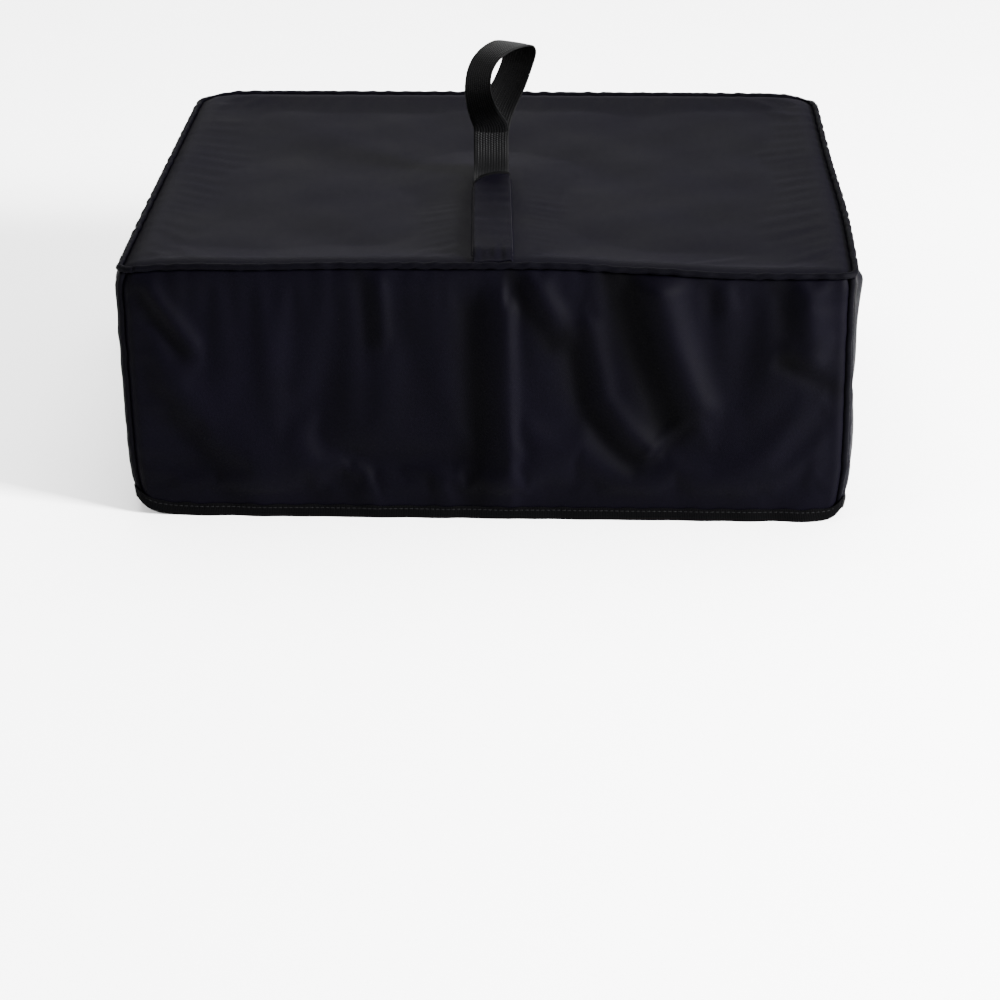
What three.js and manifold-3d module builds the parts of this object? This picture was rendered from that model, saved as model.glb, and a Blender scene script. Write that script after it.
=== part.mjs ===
// A fitted dust cover for a desktop printer: a five-panel box of coated nylon cloth, open underneath,
// with piped seams, a bound hem and a webbing lifting loop that stands on its top panel.
// Millimetres. +Z is up and the front faces -Y. The origin is the middle of the floor under the cover.
import * as THREE from "three";
import { mergeVertices } from "three/addons/utils/BufferGeometryUtils.js";
import Module from "manifold-3d";

// ---- Driving dimensions -----------------------------------------------------------------------

// The shell, over its piping.
const coverWidth = 460;
const coverDepth = 395;
const coverHeight = 170;
const cornerRadius = 12;

// Free space kept between pieces that touch on the real cover.
const gap = 0.3;

// Cloth, drawn thicker than the real weave so that each panel is a solid.
const clothThickness = 1.2;
const wallInset = 1.2;
const topDrop = 0.4;

// Piping: a cord in a folded strip, whose flat tail is caught in the seam.
const cordRadius = 2;
const pipingTail = 10;
const tailThickness = 1;

// Tape folded over the raw seam edges inside the cover, and over the hem.
const seamTapeThickness = 0.5;
const seamTapeWidth = 7;
const hemTapeThickness = 0.6;
const hemTapeHeight = 9;
const hemTapeInset = 0.3;

// Webbing of the lifting loop: one length, folded in half.
const webbingWidth = 24;
const webbingThickness = 1.2;
const strapX = -4.6;
const strapSkewDeg = 2.6;
const bendStartY = -14;
const bendRadius = 24;
const foldGap = 3;
const foldHeight = 26;

// The cloth sleeve over the two webbing tails, and the patch that backs them inside.
const sleeveThickness = 0.6;
const sleeveEndRightY = -15;
const sleeveEndLeftY = -40;
const patchWidth = 44;
const patchThickness = 0.8;
const patchStartInset = 12;
const patchEndY = 24;

// ---- Values that follow from them -------------------------------------------------------------

const topFace = coverHeight - topDrop;
const topUnderside = topFace - clothThickness;
const cordEdge = 2 * cordRadius + gap;
const seamTapeEnd = pipingTail + gap + seamTapeThickness;
const wallInside = wallInset + clothThickness;
const hemTapeInside = wallInside + gap + hemTapeThickness;
const sideNormals = { front: 270, right: 0, rear: 90, left: 180 };
const cornerDiagonals = { front_left: 225, front_right: 315, rear_right: 45, rear_left: 135 };

// Heights of the two webbing plies where they lie flat on the top panel.
const lowerPly = topFace + gap + webbingThickness / 2;
const upperPly = lowerPly + gap + webbingThickness;
const plySpacing = upperPly - lowerPly;
const foldZ = topFace + foldHeight;
const neckY = bendStartY + bendRadius;

// ---- Materials --------------------------------------------------------------------------------

function clothMaterial() {
  return new THREE.MeshStandardMaterial({ color: 0x2c2a35, roughness: 0.62, metalness: 0 });
}

function pipingMaterial() {
  return new THREE.MeshStandardMaterial({ color: 0x1c1b23, roughness: 0.7, metalness: 0 });
}

function tapeMaterial() {
  return new THREE.MeshStandardMaterial({ color: 0x111114, roughness: 0.8, metalness: 0 });
}

function webbingMaterial() {
  return new THREE.MeshStandardMaterial({ color: 0x131313, roughness: 0.75, metalness: 0 });
}

// ---- Solids -----------------------------------------------------------------------------------

const wasm = await Module();
wasm.setup();

const radians = THREE.MathUtils.degToRad;

function part(name, geometry, material) {
  const mesh = new THREE.Mesh(geometry, material);
  mesh.name = name;
  return mesh;
}

function signedVolume(positions, index) {
  const [a, b, c] = [new THREE.Vector3(), new THREE.Vector3(), new THREE.Vector3()];
  let volume = 0;
  for (let i = 0; i < index.length; i += 3) {
    a.fromArray(positions, 3 * index[i]);
    b.fromArray(positions, 3 * index[i + 1]);
    c.fromArray(positions, 3 * index[i + 2]);
    volume += a.dot(b.cross(c)) / 6;
  }
  return volume;
}

// A closed body through a run of matching rings. Each ring is the section, placed at one station.
// A run that closes on itself needs no caps.
function loft(rings, section, closed = false) {
  const count = section.length;
  const positions = rings.flat().flatMap((point) => point.toArray());
  const index = [];
  const spans = closed ? rings.length : rings.length - 1;
  for (let k = 0; k < spans; k += 1) {
    const here = k * count;
    const next = ((k + 1) % rings.length) * count;
    for (let j = 0; j < count; j += 1) {
      const side = (j + 1) % count;
      index.push(here + j, here + side, next + side);
      index.push(here + j, next + side, next + j);
    }
  }
  if (!closed) {
    const last = (rings.length - 1) * count;
    for (const [i, j, k] of THREE.ShapeUtils.triangulateShape(section, [])) {
      index.push(k, j, i);
      index.push(last + i, last + j, last + k);
    }
  }
  if (signedVolume(positions, index) < 0) index.reverse();
  const geometry = new THREE.BufferGeometry();
  geometry.setAttribute("position", new THREE.Float32BufferAttribute(positions, 3));
  geometry.setIndex(index);
  return geometry;
}

function toManifold(geometry) {
  const bare = geometry.clone();
  bare.deleteAttribute("normal");
  bare.deleteAttribute("uv");
  const merged = mergeVertices(bare, 1e-4);
  const mesh = new wasm.Mesh({
    numProp: 3,
    vertProperties: merged.getAttribute("position").array,
    triVerts: new Uint32Array(merged.index.array),
  });
  return new wasm.Manifold(mesh);
}

function fromManifold(solid) {
  const mesh = solid.getMesh();
  const geometry = new THREE.BufferGeometry();
  geometry.setAttribute("position", new THREE.Float32BufferAttribute(mesh.vertProperties, 3));
  geometry.setIndex(Array.from(mesh.triVerts));
  return geometry;
}

// ---- The plan outline -------------------------------------------------------------------------

// A station on a rounded corner of the plan outline. Its points are placed by how far they lie inside
// the outermost face and by their height.
function cornerStation(diagonalDeg, normalDeg) {
  const diagonal = radians(diagonalDeg);
  const normal = radians(normalDeg);
  const centreX = Math.sign(Math.cos(diagonal)) * (coverWidth / 2 - cornerRadius);
  const centreY = Math.sign(Math.sin(diagonal)) * (coverDepth / 2 - cornerRadius);
  return (inset, z) => {
    const reach = cornerRadius - inset;
    return new THREE.Vector3(centreX + reach * Math.cos(normal), centreY + reach * Math.sin(normal), z);
  };
}

// Stations from the middle of one corner to the middle of the next, stopping short of both middles.
function sideStations(normalDeg, trimDeg) {
  const steps = 5;
  const turn = 45 - trimDeg;
  const stations = [];
  for (let i = 0; i <= steps; i += 1) {
    stations.push(cornerStation(normalDeg - 45, normalDeg - turn + (turn * i) / steps));
  }
  for (let i = 0; i <= steps; i += 1) {
    stations.push(cornerStation(normalDeg + 45, normalDeg + (turn * i) / steps));
  }
  return stations;
}

// Stations all the way round.
function loopStations() {
  const steps = 8;
  const stations = [];
  for (const diagonal of [45, 135, 225, 315]) {
    for (let i = 0; i <= steps; i += 1) {
      stations.push(cornerStation(diagonal, diagonal - 45 + (90 * i) / steps));
    }
  }
  return stations;
}

function sweep(section, stations, closed = false) {
  const rings = stations.map((station) => section.map((point) => station(point.x, point.y)));
  return loft(rings, section, closed);
}

function points(pairs) {
  return pairs.map(([x, y]) => new THREE.Vector2(x, y));
}

// ---- Sections ---------------------------------------------------------------------------------

// Piping in section: a round cord on a flat tail that runs from the origin along +X.
function pipingSection() {
  const shape = new THREE.Shape();
  const half = tailThickness / 2;
  const join = Math.asin(half / cordRadius);
  shape.moveTo(pipingTail, -half);
  shape.lineTo(pipingTail, half);
  shape.absarc(0, 0, cordRadius, join, 2 * Math.PI - join, false);
  return shape.extractPoints(10).shape;
}

// Tape folded round the end of the piping tail: a channel that opens towards the cord.
function seamTapeSection() {
  const inner = tailThickness / 2 + gap;
  const outer = inner + seamTapeThickness;
  const open = seamTapeEnd - seamTapeWidth;
  const floor = seamTapeEnd - seamTapeThickness;
  return points([
    [open, -outer],
    [seamTapeEnd, -outer],
    [seamTapeEnd, outer],
    [open, outer],
    [open, inner],
    [floor, inner],
    [floor, -inner],
    [open, -inner],
  ]);
}

// A section drawn along +X, turned to run inwards and down from the cord of the top seam.
function alongTopSeam(section) {
  const slope = Math.SQRT1_2;
  return section.map(
    (p) =>
      new THREE.Vector2(
        cordRadius + slope * (p.x + p.y),
        coverHeight - cordRadius - slope * (p.x - p.y),
      ),
  );
}

// Hem tape in section: a channel that holds the bottom edge of the wall.
function hemTapeSection() {
  const outerLeg = hemTapeInset + hemTapeThickness;
  const innerLeg = wallInside + gap;
  return points([
    [hemTapeInset, 0],
    [hemTapeInside, 0],
    [hemTapeInside, hemTapeHeight],
    [innerLeg, hemTapeHeight],
    [innerLeg, hemTapeThickness],
    [outerLeg, hemTapeThickness],
    [outerLeg, hemTapeHeight],
    [hemTapeInset, hemTapeHeight],
  ]);
}

// Webbing in section: flat, with rounded selvedges.
function webbingSection() {
  const half = webbingThickness / 2;
  const flat = webbingWidth / 2 - half;
  const shape = new THREE.Shape();
  shape.absarc(flat, 0, half, -Math.PI / 2, Math.PI / 2, false);
  shape.absarc(-flat, 0, half, Math.PI / 2, (3 * Math.PI) / 2, false);
  return shape.extractPoints(4).shape;
}

// ---- Panels -----------------------------------------------------------------------------------

function topPanel() {
  const halfX = coverWidth / 2 - cordEdge;
  const halfY = coverDepth / 2 - cordEdge;
  const radius = cornerRadius - cordEdge;
  const shape = new THREE.Shape();
  shape.moveTo(-halfX + radius, -halfY);
  shape.lineTo(halfX - radius, -halfY);
  shape.absarc(halfX - radius, -halfY + radius, radius, -Math.PI / 2, 0, false);
  shape.lineTo(halfX, halfY - radius);
  shape.absarc(halfX - radius, halfY - radius, radius, 0, Math.PI / 2, false);
  shape.lineTo(-halfX + radius, halfY);
  shape.absarc(-halfX + radius, halfY - radius, radius, Math.PI / 2, Math.PI, false);
  shape.lineTo(-halfX, -halfY + radius);
  shape.absarc(-halfX + radius, -halfY + radius, radius, Math.PI, 1.5 * Math.PI, false);
  const options = { depth: clothThickness, bevelEnabled: false, curveSegments: 8 };
  return new THREE.ExtrudeGeometry(shape, options).translate(0, 0, topUnderside);
}

// A wall runs from the floor of the hem tape to just under the cord of the top seam, and turns half of
// each corner.
function wallPanel(normalDeg) {
  const bottom = hemTapeThickness + gap;
  const top = coverHeight - cordEdge;
  const section = points([
    [wallInset, bottom],
    [wallInside, bottom],
    [wallInside, top],
    [wallInset, top],
  ]);
  const clearOfCord = THREE.MathUtils.radToDeg((cordRadius + gap) / (cornerRadius - wallInside));
  return sweep(section, sideStations(normalDeg, clearOfCord));
}

// ---- Piping and tapes -------------------------------------------------------------------------

function topPiping() {
  return sweep(alongTopSeam(pipingSection()), loopStations(), true);
}

function topSeamTape() {
  return sweep(alongTopSeam(seamTapeSection()), loopStations(), true);
}

// Turns a solid whose tail runs along +X so that the tail points from a corner's cord to the inside.
function placeOnCorner(geometry, diagonalDeg) {
  const cord = cornerStation(diagonalDeg, diagonalDeg)(cordRadius, 0);
  return geometry.rotateZ(radians(diagonalDeg + 180)).translate(cord.x, cord.y, 0);
}

// Removes what would reach the sloping tail and tape of the top seam, from the cord's middle inwards.
function cutUnderTopSeam(geometry) {
  const clearance = (tailThickness / 2 + 2 * gap + seamTapeThickness) * Math.SQRT2;
  const level = coverHeight - cordRadius - clearance;
  const far = 2 * seamTapeEnd;
  const blockWidth = 20;
  const shape = new THREE.Shape(
    points([
      [0, level],
      [far, level - far],
      [far, coverHeight],
      [0, coverHeight],
    ]),
  );
  const block = new THREE.ExtrudeGeometry(shape, { depth: blockWidth, bevelEnabled: false });
  block.rotateX(Math.PI / 2).translate(0, blockWidth / 2, 0);
  return fromManifold(toManifold(geometry).subtract(toManifold(block)));
}

function cornerPiping(diagonalDeg) {
  const bottom = hemTapeHeight + gap;
  const height = coverHeight - cordEdge - bottom;
  const shape = new THREE.Shape(pipingSection());
  const bar = new THREE.ExtrudeGeometry(shape, { depth: height, bevelEnabled: false });
  bar.translate(0, 0, bottom);
  return placeOnCorner(cutUnderTopSeam(bar), diagonalDeg);
}

function cornerSeamTape(diagonalDeg) {
  const bottom = hemTapeHeight + gap;
  const shape = new THREE.Shape(seamTapeSection());
  const bar = new THREE.ExtrudeGeometry(shape, { depth: coverHeight - bottom, bevelEnabled: false });
  bar.translate(0, 0, bottom);
  return placeOnCorner(cutUnderTopSeam(bar), diagonalDeg);
}

function hemTape(normalDeg) {
  const mitreGapDeg = THREE.MathUtils.radToDeg(gap / 2 / (cornerRadius - hemTapeInside));
  return sweep(hemTapeSection(), sideStations(normalDeg, mitreGapDeg));
}

// ---- The lifting loop -------------------------------------------------------------------------

// One ply of webbing along a curve. The ply's width lies along the compass direction that yawDeg gives
// at each point, tipped only as far as the curve makes it.
function ribbon(curve, yawDeg, steps) {
  const section = webbingSection();
  const rings = [];
  for (let i = 0; i <= steps; i += 1) {
    const share = i / steps;
    const centre = curve.getPointAt(share);
    const along = curve.getTangentAt(share);
    const yaw = radians(yawDeg(share));
    const across = new THREE.Vector3(Math.cos(yaw), Math.sin(yaw), 0);
    across.addScaledVector(along, -across.dot(along)).normalize();
    const through = new THREE.Vector3().crossVectors(along, across);
    rings.push(
      section.map((p) => centre.clone().addScaledVector(across, p.x).addScaledVector(through, p.y)),
    );
  }
  return loft(rings, section);
}

// The standing part: up the front leg, over the crown and down the rear leg, with both legs twisted to
// the same side. Points are from the fold line, in the middle between the two plies.
function handleLoop() {
  const start = foldGap / 2;
  const half = plySpacing / 2;
  const route = [
    [0, -half, start],
    [-0.4, -half - 0.6, start + 3],
    [-5, -9, 17],
    [-8.5, -15, 34],
    [-7.5, -14.5, 47],
    [-2.5, -11, 56],
    [6, -5, 61.5],
    [13, 0, 62.5],
    [19.5, 9, 59.5],
    [18, 14.5, 48],
    [13.5, 14, 34],
    [4, 9, 15],
    [0.4, half + 0.6, start + 3],
    [0, half, start],
  ];
  const curve = new THREE.CatmullRomCurve3(route.map((p) => new THREE.Vector3(...p)));
  const twist = new THREE.SplineCurve(
    points([
      [0, 0],
      [0.05, -3],
      [0.14, -22],
      [0.3, -44],
      [0.42, -46],
      [0.55, -30],
      [0.72, -27],
      [0.86, -16],
      [0.95, -3],
      [1, 0],
    ]),
  );
  const yawAt = (share) => twist.getPoint(shareOnSpline(twist, share)).y;
  return ribbon(curve, yawAt, 88).translate(strapX, neckY, foldZ);
}

// The parameter at which a spline that runs steadily along +X reaches the given x.
function shareOnSpline(spline, x) {
  let low = 0;
  let high = 1;
  for (let i = 0; i < 30; i += 1) {
    const middle = (low + high) / 2;
    if (spline.getPoint(middle).x < x) low = middle;
    else high = middle;
  }
  return (low + high) / 2;
}

// A tail: flat under the sleeve from the front seam, then bent up to the fold line. The ply that lies on
// top is on the inside of the bend.
function handleTail(plyHeight) {
  const steps = 12;
  const middle = (lowerPly + upperPly) / 2;
  const radius = bendRadius - (plyHeight - middle);
  const bendCentreZ = middle + bendRadius;
  const endAngle = Math.acos((bendCentreZ - (foldZ - foldGap / 2)) / bendRadius);
  const section = webbingSection();
  const ringAt = (y, z, angle) => {
    const lift = new THREE.Vector3(0, -Math.sin(angle), Math.cos(angle));
    return section.map((p) => new THREE.Vector3(p.x, y, z).addScaledVector(lift, p.y));
  };
  const rings = [ringAt(-coverDepth / 2 + cordEdge, plyHeight, 0)];
  for (let i = 0; i <= steps; i += 1) {
    const angle = (endAngle * i) / steps;
    const y = bendStartY + radius * Math.sin(angle);
    rings.push(ringAt(y, bendCentreZ - radius * Math.cos(angle), angle));
  }
  return loft(rings, section);
}

// The cloth sleeve that is sewn down over both tails. Its open end is cut back on the left side, where
// the webbing comes out.
function handleSleeve() {
  const inner = webbingWidth / 2 + gap;
  const outer = inner + sleeveThickness;
  const foot = topFace + gap;
  const roof = upperPly + webbingThickness / 2 + gap;
  const shoulder = 0.8;
  const section = points([
    [-outer, foot],
    [-inner, foot],
    [-inner, roof],
    [inner, roof],
    [inner, foot],
    [outer, foot],
    [outer, roof + sleeveThickness - shoulder],
    [outer - shoulder, roof + sleeveThickness],
    [-outer + shoulder, roof + sleeveThickness],
    [-outer, roof + sleeveThickness - shoulder],
  ]);
  const frontY = -coverDepth / 2 + cordEdge;
  const rings = [frontY, 0].map((y) => section.map((p) => new THREE.Vector3(p.x, y, p.y)));
  const channel = toManifold(loft(rings, section));
  const cut = new THREE.Shape();
  cut.moveTo(outer + 1, sleeveEndRightY);
  cut.bezierCurveTo(0, sleeveEndRightY - 3, -outer, sleeveEndRightY - 6, -outer - 1, sleeveEndLeftY);
  cut.lineTo(-outer - 1, 10);
  cut.lineTo(outer + 1, 10);
  const block = new THREE.ExtrudeGeometry(cut, { depth: 20, bevelEnabled: false, curveSegments: 10 });
  block.translate(0, 0, topFace - 5);
  return fromManifold(channel.subtract(toManifold(block)));
}

// The reinforcing patch on the inside of the top panel, under the tails and the fold. It starts behind
// the seam tape, so that the lid of a printer can lie flat against it.
function backingPatch() {
  const frontY = -coverDepth / 2 + patchStartInset;
  const length = patchEndY - frontY;
  const patch = new THREE.BoxGeometry(patchWidth, length, patchThickness);
  return patch.translate(0, (patchEndY + frontY) / 2, topUnderside - gap - patchThickness / 2);
}

// ---- The whole cover --------------------------------------------------------------------------

const cover = new THREE.Group();

cover.add(part("top_panel", topPanel(), clothMaterial()));
for (const [side, normal] of Object.entries(sideNormals)) {
  cover.add(part(side + "_panel", wallPanel(normal), clothMaterial()));
  cover.add(part(side + "_hem_tape", hemTape(normal), tapeMaterial()));
}

cover.add(part("top_piping", topPiping(), pipingMaterial()));
cover.add(part("top_seam_tape", topSeamTape(), tapeMaterial()));
for (const [corner, diagonal] of Object.entries(cornerDiagonals)) {
  cover.add(part(corner + "_piping", cornerPiping(diagonal), pipingMaterial()));
  cover.add(part(corner + "_seam_tape", cornerSeamTape(diagonal), tapeMaterial()));
}

// The tails, sleeve and patch run slightly askew from the front seam to the fold.
const strapBase = new THREE.Group();
strapBase.position.set(strapX, 0, 0);
strapBase.rotation.z = radians(strapSkewDeg);
strapBase.add(part("handle_lower_tail", handleTail(lowerPly), webbingMaterial()));
strapBase.add(part("handle_upper_tail", handleTail(upperPly), webbingMaterial()));
strapBase.add(part("handle_sleeve", handleSleeve(), clothMaterial()));
strapBase.add(part("handle_backing_patch", backingPatch(), clothMaterial()));
cover.add(strapBase);

cover.add(part("handle_loop", handleLoop(), webbingMaterial()));

export default cover;
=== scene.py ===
"""A fitted nylon dust cover for a desktop printer, sewn around its measured frame.

Laid out as an add-on: sizes and colours are properties, and each group of pieces has its operator.
Everything is in metres. The cover stands on the floor with its front facing -Y.
"""

import math

import bmesh
import bpy
import numpy as np
from mathutils import Matrix, Vector


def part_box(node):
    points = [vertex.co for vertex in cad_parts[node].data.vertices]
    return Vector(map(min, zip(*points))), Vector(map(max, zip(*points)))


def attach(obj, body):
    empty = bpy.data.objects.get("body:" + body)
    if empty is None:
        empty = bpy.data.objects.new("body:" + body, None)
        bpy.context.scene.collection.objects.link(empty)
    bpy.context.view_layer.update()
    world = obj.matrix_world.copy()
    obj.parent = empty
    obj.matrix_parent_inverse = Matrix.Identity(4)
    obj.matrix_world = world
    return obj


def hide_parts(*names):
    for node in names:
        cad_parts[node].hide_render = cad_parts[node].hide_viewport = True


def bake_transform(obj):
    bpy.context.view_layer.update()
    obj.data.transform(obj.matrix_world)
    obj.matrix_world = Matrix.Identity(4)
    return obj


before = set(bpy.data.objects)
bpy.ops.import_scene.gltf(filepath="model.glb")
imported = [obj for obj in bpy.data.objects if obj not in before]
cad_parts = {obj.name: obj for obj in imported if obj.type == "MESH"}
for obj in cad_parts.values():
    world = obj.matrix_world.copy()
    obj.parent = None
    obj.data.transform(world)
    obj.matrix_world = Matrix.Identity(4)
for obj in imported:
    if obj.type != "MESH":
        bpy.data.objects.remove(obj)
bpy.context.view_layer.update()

bl_info = {
    "name": "Printer dust cover",
    "version": (1, 0, 0),
    "blender": (4, 5, 0),
    "location": "3D View > Sidebar > Dust Cover",
    "description": "Sews a fitted nylon dust cover with a webbing lifting loop",
    "category": "Add Mesh",
}

# ---- Sizes read from the frame -----------------------------------------------------------------

MM = 0.001
_, RIM_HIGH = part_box("top_piping")
HALF_X = RIM_HIGH.x
HALF_Y = RIM_HIGH.y
HEIGHT = RIM_HIGH.z
CORNER = 12 * MM

# The wall cloth ends under the cord of the piping, and turns the corners a little inside the box.
WALL_TOP = HEIGHT - 4 * MM
CLOTH_BEND = CORNER - 1.2 * MM
CORD_INSET = 2 * MM
SEAM_INSET = 3.2 * MM
TAIL = 10 * MM

# The strap: its slanting line over the top, its two plies and the bend up to the fold.
STRAP_X = -4.6 * MM
STRAP_SKEW = math.radians(2.6)
FOLD_Y = 10 * MM
FOLD_Z = 195.6 * MM
LOWER_PLY = 170.5 * MM
UPPER_PLY = 172.0 * MM
BEND_START = -14 * MM
BEND_RADIUS = 24 * MM

# The patch behind the strap, from front to back.
PATCH_HALF = 22 * MM
PATCH_FRONT = -HALF_Y + 12 * MM
PATCH_BACK = 24 * MM

# Each wall: the turn of its length away from +X, half its length and how far out it stands.
WALLS = {
    "front": (0.0, HALF_X, HALF_Y),
    "right": (math.pi / 2, HALF_Y, HALF_X),
    "rear": (math.pi, HALF_X, HALF_Y),
    "left": (3 * math.pi / 2, HALF_Y, HALF_X),
}
CORNERS = {"front_left": 225, "front_right": 315, "rear_right": 45, "rear_left": 135}

# Folds of each wall, in millimetres along it and up it: the line of the crest, how wide the slope on
# its left is, how wide the slope on its right is, and how far it stands out.
FOLDS = {
    "front": (
        (((-68, 172), (-65, 150), (-64, 124)), 7, 4, 1.5),
        (((13, 142), (14.5, 88), (15.5, 4)), 15, 5, 2.6),
        (((27, 172), (36, 150), (50, 129)), 8, 7, 2.3),
        (((66, 130), (75, 86), (91, 65), (104, 52)), 10, 7, 2.6),
        (((104, 172), (118, 126), (134, 82)), 15, 12, 4.2),
        (((146, 172), (151, 148)), 7, 6, 1.2),
        (((200, 172), (208, 122)), 12, 9, 2.0),
        (((190, 120), (224, 103)), 7, 7, 1.8),
        (((-213, 162), (-184, 120)), 7, 5, 2.0),
        (((102, 50), (124, 71)), 4, 3, 0.9),
        (((-80, 32), (-72, 12)), 9, 4, 1.2),
        (((-28, 30), (-24, 8)), 7, 4, 0.9),
        (((-190, 100), (-150, 40), (-140, 8)), 16, 16, 1.3),
        (((-120, 60), (-100, 20)), 9, 9, 0.7),
    ),
    "right": (
        (((-170, 168), (-150, 110), (-120, 60)), 14, 9, 3.0),
        (((-95, 170), (-88, 120)), 8, 6, 1.6),
        (((-30, 172), (-36, 110), (-60, 40)), 15, 10, 2.4),
        (((40, 172), (58, 120), (84, 84)), 12, 8, 2.6),
        (((120, 170), (126, 130)), 8, 6, 1.4),
        (((60, 50), (70, 6)), 12, 8, 1.6),
        (((172, 160), (150, 112)), 9, 9, 1.6),
    ),
    "rear": (
        (((-190, 165), (-160, 110)), 12, 9, 2.4),
        (((-120, 172), (-126, 110), (-150, 50)), 15, 11, 2.6),
        (((-50, 172), (-40, 128)), 8, 6, 1.6),
        (((10, 172), (2, 100), (-14, 10)), 16, 9, 2.6),
        (((84, 170), (112, 112), (124, 70)), 13, 9, 3.0),
        (((160, 172), (164, 138)), 8, 7, 1.4),
        (((206, 150), (186, 104)), 9, 8, 1.8),
        (((60, 40), (64, 6)), 10, 7, 1.2),
    ),
    "left": (
        (((-172, 162), (-150, 116)), 10, 8, 2.0),
        (((-110, 172), (-98, 118), (-70, 76)), 13, 9, 2.8),
        (((-20, 172), (-24, 130)), 8, 6, 1.4),
        (((44, 172), (40, 96), (24, 30)), 15, 10, 2.6),
        (((104, 170), (128, 118)), 11, 8, 2.2),
        (((168, 160), (150, 100), (148, 50)), 12, 10, 1.8),
        (((-60, 40), (-56, 6)), 10, 8, 1.3),
    ),
}

# ---- Curves and waves --------------------------------------------------------------------------


def ease(x):
    """0 below 0, 1 above 1, and a smooth step between."""
    t = np.clip(x, 0, 1)
    return t * t * (3 - 2 * t)


def through(x, knots, values):
    """A smooth curve through a few points, level beyond its ends."""
    k, v = np.asarray(knots, float), np.asarray(values, float)
    slope = np.gradient(v, k)
    x = np.clip(x, k[0], k[-1])
    i = np.clip(np.searchsorted(k, x) - 1, 0, len(k) - 2)
    h = k[i + 1] - k[i]
    t = (x - k[i]) / h
    rise = 3 * t**2 - 2 * t**3
    start, end = t - 2 * t**2 + t**3, t**3 - t**2
    return v[i] + rise * (v[i + 1] - v[i]) + h * (start * slope[i] + end * slope[i + 1])


def swell(a, b, wavelength, seed):
    """Gentle uneven waves between about -1 and 1 over two lengths."""
    draw = np.random.default_rng(seed)
    total = 0
    for _ in range(6):
        turn, phase = draw.uniform(0, math.tau, 2)
        k = math.tau / (wavelength * draw.uniform(0.7, 1.6))
        total = total + np.sin(k * (a * math.cos(turn) + b * math.sin(turn)) + phase)
    return total / 3


def gathers(s, wavelength, seed):
    """Uneven waves along one length, as cloth makes along a seam."""
    draw = np.random.default_rng(seed)
    total = 0
    for _ in range(5):
        k = math.tau / (wavelength * draw.uniform(0.75, 1.7))
        total = total + np.sin(k * s + draw.uniform(0, math.tau))
    return total / 2.5


# ---- How the sewn cloth stands -----------------------------------------------------------------


def fold_relief(side, s, z):
    """How far the folds of a wall stand out at a place on it, and how much painted shade darkens the cloth
    in the hollow beside its fold.
    """
    relief, crease = np.zeros_like(s), np.zeros_like(s)
    for line, left, right, depth in FOLDS[side]:
        nearest = np.full_like(s, 1e9)
        beside = np.zeros_like(s)
        for (s0, z0), (s1, z1) in zip(line, line[1:]):
            a, d = np.array((s0, z0)) * MM, np.array((s1 - s0, z1 - z0)) * MM
            t = np.clip(((s - a[0]) * d[0] + (z - a[1]) * d[1]) / (d @ d), 0, 1)
            ds, dz = s - a[0] - t * d[0], z - a[1] - t * d[1]
            r = np.hypot(ds, dz)
            closer = r < nearest
            nearest = np.where(closer, r, nearest)
            beside = np.where(closer, (dz * d[0] - ds * d[1]) / math.hypot(*d), beside)
        width = np.where(beside < 0, left, right) * MM
        relief += depth * MM * np.exp(-((nearest / width) ** 2))
        hollow = np.exp(-(((beside + 1.5 * left * MM) / (0.8 * left * MM)) ** 2))
        reach = np.clip(nearest**2 - beside**2, 0, 1)
        hollow = hollow * np.exp(-reach / (left * MM) ** 2)
        relief -= 0.55 * depth * MM * hollow
        # Painted shade: the hollow beside each fold darkens the cloth's colour here, standing in for the
        # shade that falls in it.
        crease += depth / 3 * hollow
    return relief, np.clip(crease, 0, 1)


def wall_relief(side, s, z, half):
    """Folds, broad swells and seam gathers of one wall."""
    seed = 10 * list(WALLS).index(side)
    sizes = bpy.context.scene.cover_sizes
    in_from_ends = ease((half - 8 * MM - abs(s)) / (22 * MM))
    under_seam = ease((WALL_TOP - z) / (9 * MM))
    over_hem = 0.3 + 0.7 * ease((z - 4 * MM) / (28 * MM))
    folds = sizes.fold_depth * fold_relief(side, s, z)[0] + 1.1 * MM * swell(s, z, 70 * MM, seed + 1)
    relief = folds * in_from_ends * under_seam * over_hem
    below_seam = np.clip(WALL_TOP - z, 0, 1)
    off_corner = np.clip(half - abs(s) - 10 * MM, 0, 1)
    relief += 0.3 * MM * gathers(s, 14 * MM, seed + 2) * np.exp(-below_seam / (13 * MM))
    relief += 0.22 * MM * gathers(z, 19 * MM, seed + 3) * np.exp(-off_corner / (14 * MM))
    relief += 0.5 * MM * gathers(s, 22 * MM, seed + 4) * np.exp(-z / (16 * MM))
    return relief


def bulge_walls(co, moved):
    """Lets the walls stand out between their seams, the left one most."""
    sizes = bpy.context.scene.cover_sizes
    x, y, z = co.T
    across, deep, up = x / HALF_X, y / HALF_Y, np.clip(z / HEIGHT, 0, 1)
    levels = (0, 0.12, 0.3, 0.55, 0.8, 0.94, 1)
    belly = sizes.belly * through(up, levels, (0, 0.6, 0.85, 1.0, 1.05, 0.85, 0.7))
    left = sizes.belly * through(up, levels, (0.4, 1.3, 1.6, 1.8, 1.85, 1.6, 0.8))
    right = sizes.belly * through(up, levels, (0.3, 1.05, 1.15, 0.9, 0.6, 0.5, 0.38))
    sideways = np.where(x > 0, right, left) * (1 - 0.1 * deep**4) * abs(across) ** 6
    front_of_middle = np.exp(-(((y + 0.08) / 0.09) ** 2))
    sideways += 2.4 * MM * up**4 * front_of_middle * np.where(x > 0, abs(across) ** 6, 0)
    moved[:, 0] += np.sign(x) * sideways
    moved[:, 1] += np.sign(y) * 0.7 * belly * (1 - across**4) * abs(deep) ** 6


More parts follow.
